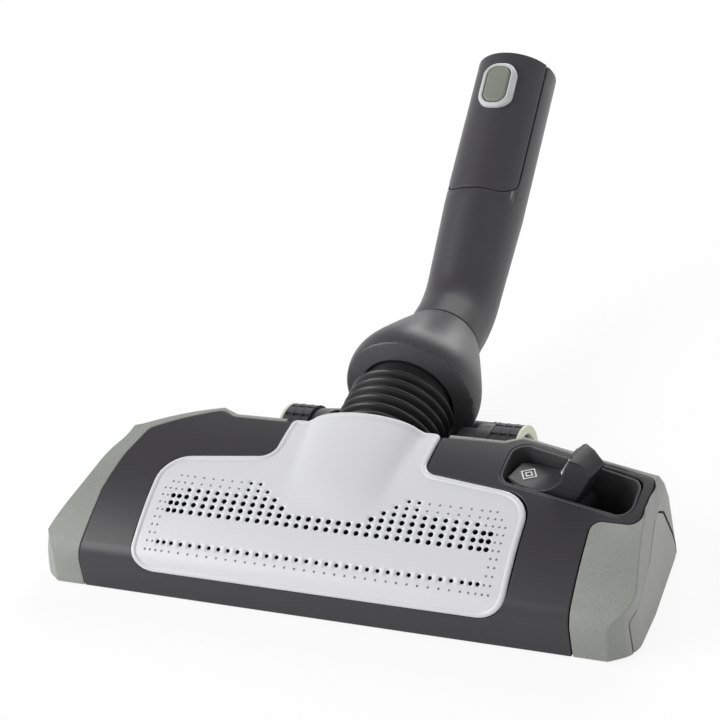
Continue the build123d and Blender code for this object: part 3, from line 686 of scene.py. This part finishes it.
for vert in grille.verts:
    x, v, high = vert.co
    spot = folded(v)
    run = (folded(v + SLOPE_STEP) - folded(v - SLOPE_STEP)).normalized()
    spot += Vector((0, -run.z, run.y)) * high
    spot.z = smooth_max(spot.z, dome_height(x, spot.y) + high, BLEND)
    vert.co = Vector((x, spot.y, spot.z)) * MM
bmesh.ops.recalc_face_normals(grille, faces=grille.faces)
if sum(f.normal.z for f in grille.faces) < 0:
    bmesh.ops.reverse_faces(grille, faces=grille.faces)
grille_finishes = [FINISH["grille_white"], FINISH["painted_hole_shade"], FINISH["painted_pit_shade"]]
grille_piece = add_piece("air_grille_panel", grille, grille_finishes, "head", GRILLE_SMOOTH_DEG)
wall = grille_piece.modifiers.new("wall", "SOLIDIFY")
wall.thickness = GRILLE_WALL * MM
wall.offset = -1
# The wall's rims, round each hole and along the panel's edge, take painted shade.
wall.material_offset_rim = HOLE_SHADE_FINISH
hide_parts("air_grille")
print("grille points:", len(grille_piece.data.vertices))

# %% [markdown]
# ## The bellows
# The rubber hose between the head and the collar is turned like a lathe part: one rippled profile,
# spun round its own leaning axis. The real hose bends with the collar; here it is tied to no body.

# %% Spin the bellows
ROOT_R, RIB_R, RIBS, RIB_POINTS = 21.6, 25.0, 6, 10
RIB_FULLNESS, SPIN_STEPS = 0.8, 72
LEAD_IN, RUN_OUT = 10, 16
HOSE_WALL, HOSE_SMOOTH_DEG, HOSE_WELD = 0.8, 80, 1e-6
BELLOWS_FROM, BELLOWS_TO = Vector((0, 43, 29)), Vector((0, 74.04, 35.53))
axis = (BELLOWS_TO - BELLOWS_FROM).normalized()
outwards = Vector((0, -axis.z, axis.y))
length = (BELLOWS_TO - BELLOWS_FROM).length

bellows = bmesh.new()
ribbed = RIBS * RIB_POINTS
chain = []
for k in range(-LEAD_IN, ribbed + RUN_OUT):
    wave = (0.5 - 0.5 * cos(2 * pi * k / RIB_POINTS)) ** RIB_FULLNESS if 0 <= k <= ribbed else 0.0
    spot = BELLOWS_FROM + axis * (length * k / ribbed)
    chain.append(bellows.verts.new((spot + outwards * (ROOT_R + (RIB_R - ROOT_R) * wave)) * MM))
edges = [bellows.edges.new(pair) for pair in zip(chain, chain[1:])]
bmesh.ops.spin(
    bellows, geom=chain + edges, cent=BELLOWS_FROM * MM, axis=axis, angle=2 * pi, steps=SPIN_STEPS,
    use_merge=True, use_duplicate=False,
)
bmesh.ops.remove_doubles(bellows, verts=bellows.verts, dist=HOSE_WELD)
bmesh.ops.recalc_face_normals(bellows, faces=bellows.faces)
centre = (BELLOWS_FROM + BELLOWS_TO) / 2 * MM
sample = bellows.faces[:][0]
if (sample.calc_center_median() - centre).dot(sample.normal) < 0:
    bmesh.ops.reverse_faces(bellows, faces=bellows.faces)
print("bellows faces:", len(bellows.faces))
bellows_piece = add_piece("bellows_hose", bellows, [FINISH["bellows_black"]], None, HOSE_SMOOTH_DEG)
skin = bellows_piece.modifiers.new("skin", "SOLIDIFY")
skin.thickness = HOSE_WALL * MM
skin.offset = -1
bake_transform(bellows_piece)
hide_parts("bellows")

# %% [markdown]
# ## The pedal
# The rocker is a thick paddle with a hollow top. One formula gives the hollow: two straight wings that
# run into each other through a soft valley. The outline follows it, turns round the blunt ends, runs
# under the wings to the hub, and is then given its width.

# %% The pedal's own directions and its hollow top
PEDAL_AT = Vector((100.2, 17.4, 31.0))
PEDAL_TURN, PEDAL_TILT = radians(-13.5), radians(25.0)
VALLEY_X, VALLEY_Y, VALLEY_SOFT, WING_SLOPE = -3.5, 15.1, 6, 0.62
DISH_SLOPE, RIGHT_TAPER, LEFT_TAPER = 0.3, 0.38, 0.3
flat_along = cos(PEDAL_TILT)
across = Vector((sin(PEDAL_TURN), -cos(PEDAL_TURN), 0))
along = Vector((cos(PEDAL_TURN) * flat_along, sin(PEDAL_TURN) * flat_along, sin(PEDAL_TILT)))
above = across.cross(along)


def hollow(x):
    return VALLEY_Y + WING_SLOPE * (sqrt((x - VALLEY_X) ** 2 + VALLEY_SOFT ** 2) - VALLEY_SOFT)


def dished(x, w):
    """The hollow top, with the right wing turned a little towards its front edge."""
    wing = ramp(x, -5, 7) * ramp(x, 17, 9)
    return hollow(x) - DISH_SLOPE * w * wing


def narrowed(x):
    """The wings are narrower at their ends, to pass the tray's rounded corners."""
    return 1 - RIGHT_TAPER * ramp(x, 14, 23) - LEFT_TAPER * ramp(x, -14, -22)


def pedal_spot(x, y, w):
    """A place given along the pedal, above its pivot and across it, in the shared frame."""
    return (PEDAL_AT + along * x + above * y + across * w) * MM


print("pedal pivot at", tuple(round(v, 4) for v in pedal_spot(0, 0, 0)))

# %% [markdown]
# The cuts across the width give the hollow top points to turn at.

# %% Draw and thicken the pedal
PEDAL_HALF, HUB_R = 8.6, 7.0
TOP_FROM, TOP_RUN, TOP_STEPS = -20.6, 37.6, 24
HUB_FROM_DEG, HUB_STEP_DEG, HUB_POINTS = 27, 18, 14
ON_TOP = 0.05
top_x = [TOP_FROM + TOP_RUN * k / TOP_STEPS for k in range(TOP_STEPS + 1)]
top = [(x, hollow(x)) for x in top_x]
right_end = [(20.6, 21.4), (23.0, 15.0)]
hub_turns = [radians(HUB_FROM_DEG - HUB_STEP_DEG * k) for k in range(HUB_POINTS)]
hub = [(HUB_R * cos(turn), HUB_R * sin(turn)) for turn in hub_turns]
left_end = [(-21.6, 15.9)]
pedal_outline = top + right_end + hub + left_end

pedal = bmesh.new()
flank = pedal.faces.new([pedal.verts.new(pedal_spot(x, y, -PEDAL_HALF)) for x, y in pedal_outline])
made = bmesh.ops.extrude_face_region(pedal, geom=[flank])["geom"]
far_verts = [v for v in made if isinstance(v, bmesh.types.BMVert)]
bmesh.ops.translate(pedal, verts=far_verts, vec=across * 2 * PEDAL_HALF * MM)
for w in (-6, -3, 0, 3, 6):
    cut(pedal, pedal_spot(0, 0, w), across)
for vert in pedal.verts:
    arm = vert.co / MM - PEDAL_AT
    x, y, w = arm.dot(along), arm.dot(above), arm.dot(across)
    if abs(y - hollow(x)) < ON_TOP:
        y = dished(x, w)
    vert.co = pedal_spot(x, y, w * narrowed(x))
bmesh.ops.recalc_face_normals(pedal, faces=pedal.faces)
soften("pedal", 0.9, pedal)
print("pedal outline points:", len(pedal_outline))

# %% [markdown]
# ## Symbols on the pedal
# Two small printed symbols tell hard floor from carpet. Both start as a circle of four segments,
# which is a diamond. They are drawn flat, cut into strips and then laid on the pedal's hollow top.

# %% Print the symbols
LEFT, RIGHT = -1, 1
MARK_AT = {LEFT: -14.0, RIGHT: 7.0}
SYMBOL_R, STROKE = 4.4, 0.6
CLIMB_SHARE = 0.82
STRIP, STRIP_SHIFT = 0.55, 0.1
INK_THICK, INK_PROUD = 0.1, 0.2
BAR_PITCH, BAR_WIDE, BAR_LONG = 1.2, 0.4, 1.6


def on_wing(side, flat):
    """Place on a wing: flat x runs up the wing, flat y along the pivot, flat z off the face."""
    x = MARK_AT[side] + side * CLIMB_SHARE * flat.x
    return pedal_spot(x, dished(x, side * flat.y) + flat.z, side * flat.y)


def diamond_ring(bm, radius):
    made = bmesh.ops.create_circle(bm, cap_ends=True, segments=4, radius=radius)
    face = made["verts"][0].link_faces[0]
    bmesh.ops.inset_region(bm, faces=[face], thickness=STROKE, use_even_offset=True, use_boundary=True)
    bmesh.ops.delete(bm, geom=[face], context="FACES_ONLY")


def print_symbol(name, bm, side):
    for k in range(-8, 9):
        cut(bm, (STRIP * k + STRIP_SHIFT, 0, 0), (1, 0, 0))
    bmesh.ops.solidify(bm, geom=bm.faces[:], thickness=-INK_THICK)
    for vert in bm.verts:
        vert.co = on_wing(side, vert.co + Vector((0, 0, INK_PROUD)))
    bmesh.ops.recalc_face_normals(bm, faces=bm.faces)
    return add_piece(name, bm, [FINISH["symbol_white"]], "rocker")


floor_mark = bmesh.new()
diamond_ring(floor_mark, SYMBOL_R)
diamond_ring(floor_mark, SYMBOL_R * 0.5)
print_symbol("hard_floor_mark", floor_mark, LEFT)
carpet_mark = bmesh.new()
diamond_ring(carpet_mark, SYMBOL_R)
for k in range(-2, 3):
    bar = bmesh.ops.create_grid(carpet_mark, x_segments=1, y_segments=1, size=0.5)["verts"]
    bar_length = BAR_LONG * (SYMBOL_R - abs(k) * BAR_PITCH - STROKE)
    bmesh.ops.scale(carpet_mark, vec=(BAR_WIDE, bar_length, 1), verts=bar)
    bmesh.ops.translate(carpet_mark, vec=(k * BAR_PITCH, 0, 0), verts=bar)
print_symbol("carpet_mark", carpet_mark, RIGHT)
mark_spots = [on_wing(side, Vector((0, 0, 0))) for side in (LEFT, RIGHT)]
print("symbols at", [tuple(round(v, 4) for v in spot) for spot in mark_spots])

# %% [markdown]
# ## Camera
# The photograph looks down at the nozzle from its pedal side, through a long lens, with the camera
# rolled a little so that the head runs downhill.

# %% Place the camera
LENS_MM, SENSOR_MM = 95.0, 36.0
AZIMUTH, ELEVATION, ROLL = radians(29.2), radians(30.0), radians(-10.861)
CAMERA_AT = Vector((0.34824, -0.58165, 0.49175))
level_right = Vector((cos(AZIMUTH), sin(AZIMUTH), 0))
back = Vector((sin(AZIMUTH) * cos(ELEVATION), -cos(AZIMUTH) * cos(ELEVATION), sin(ELEVATION)))
level_up = back.cross(level_right)
right = level_right * cos(ROLL) + level_up * sin(ROLL)
up = back.cross(right)
camera = bpy.data.objects.new("camera", bpy.data.cameras.new("camera"))
camera.data.lens = LENS_MM
camera.data.sensor_width = SENSOR_MM
camera.data.clip_start = 0.01
camera.matrix_world = Matrix.Translation(CAMERA_AT) @ Matrix((right, up, back)).transposed().to_4x4()
scene.collection.objects.link(camera)
scene.camera = camera
print("camera looks along", tuple(round(v, 3) for v in -back))

# %% [markdown]
# ## Light, room and floor
# A product shot: one large soft lamp from above and the left, a weak one on the right, and one behind
# that lights the upper edges.

# %% Three soft lamps
LAMP_AIM = Vector((0, 0.06, 0.04))
# Place and width in metres, power in watts.
LAMPS = {
    "key_lamp": (Vector((-1.2, -0.7, 0.95)), 1.2, 21),
    "fill_lamp": (Vector((1.3, -0.5, 0.8)), 1.2, 3.5),
    "back_lamp": (Vector((0.1, 1.6, 0.8)), 1.6, 26),
}
for name, (place, size, power) in LAMPS.items():
    data = bpy.data.lights.new(name, "AREA")
    data.shape = "DISK"
    data.size = size
    data.energy = power
    lamp = bpy.data.objects.new(name, data)
    lamp.location = place
    lamp.rotation_euler = (LAMP_AIM - place).to_track_quat("-Z", "Y").to_euler()
    scene.collection.objects.link(lamp)
print("lamps:", list(LAMPS))

# %% [markdown]
# The room lights the nozzle more from the sides than from above. The camera sees it as plain white.

# %% The room
world = bpy.data.worlds.new("studio")
scene.world = world
world.use_nodes = True
room, links = world.node_tree.nodes, world.node_tree.links
sky = room["Background"]
sky.inputs["Color"].default_value = (1, 1, 1, 1)
where = room.new("ShaderNodeTexCoord")
split = room.new("ShaderNodeSeparateXYZ")
dusk = room.new("ShaderNodeMapRange")
for socket, value in (("From Min", 0.0), ("From Max", 0.6), ("To Min", 0.75), ("To Max", 0.22)):
    dusk.inputs[socket].default_value = value
rays = room.new("ShaderNodeLightPath")
level = room.new("ShaderNodeMix")
level.data_type = "FLOAT"
level.inputs["B"].default_value = 1.0
links.new(where.outputs["Generated"], split.inputs["Vector"])
links.new(split.outputs["Z"], dusk.inputs["Value"])
links.new(dusk.outputs["Result"], level.inputs["A"])
links.new(rays.outputs["Is Camera Ray"], level.inputs["Factor"])
links.new(level.outputs["Result"], sky.inputs["Strength"])
print("room nodes:", len(room))

# %% [markdown]
# The floor is white paper that glows for the camera, mixed with enough plain paper to keep the
# nozzle's shadow.

# %% The floor
PAPER_GLOW, FLOOR_R = 0.88, 6.0
disc = bmesh.new()
bmesh.ops.create_circle(disc, cap_ends=True, segments=64, radius=FLOOR_R)
paper = moulded("floor_white", srgb(250, 250, 250), rough=0.9, scale=40, depth=0.0, drift=0.0)
nodes, links = paper.node_tree.nodes, paper.node_tree.links
glow, over = nodes.new("ShaderNodeEmission"), nodes.new("ShaderNodeMixShader")
seen = nodes.new("ShaderNodeLightPath")
share = nodes.new("ShaderNodeMath")
share.operation = "MULTIPLY"
share.inputs[1].default_value = PAPER_GLOW
links.new(seen.outputs["Is Camera Ray"], share.inputs[0])
links.new(share.outputs[0], over.inputs["Fac"])
links.new(nodes["Principled BSDF"].outputs["BSDF"], over.inputs[1])
links.new(glow.outputs["Emission"], over.inputs[2])
links.new(over.outputs["Shader"], nodes["Material Output"].inputs["Surface"])
floor = add_piece("floor", disc, [paper], None)
print("floor radius:", FLOOR_R, "m")
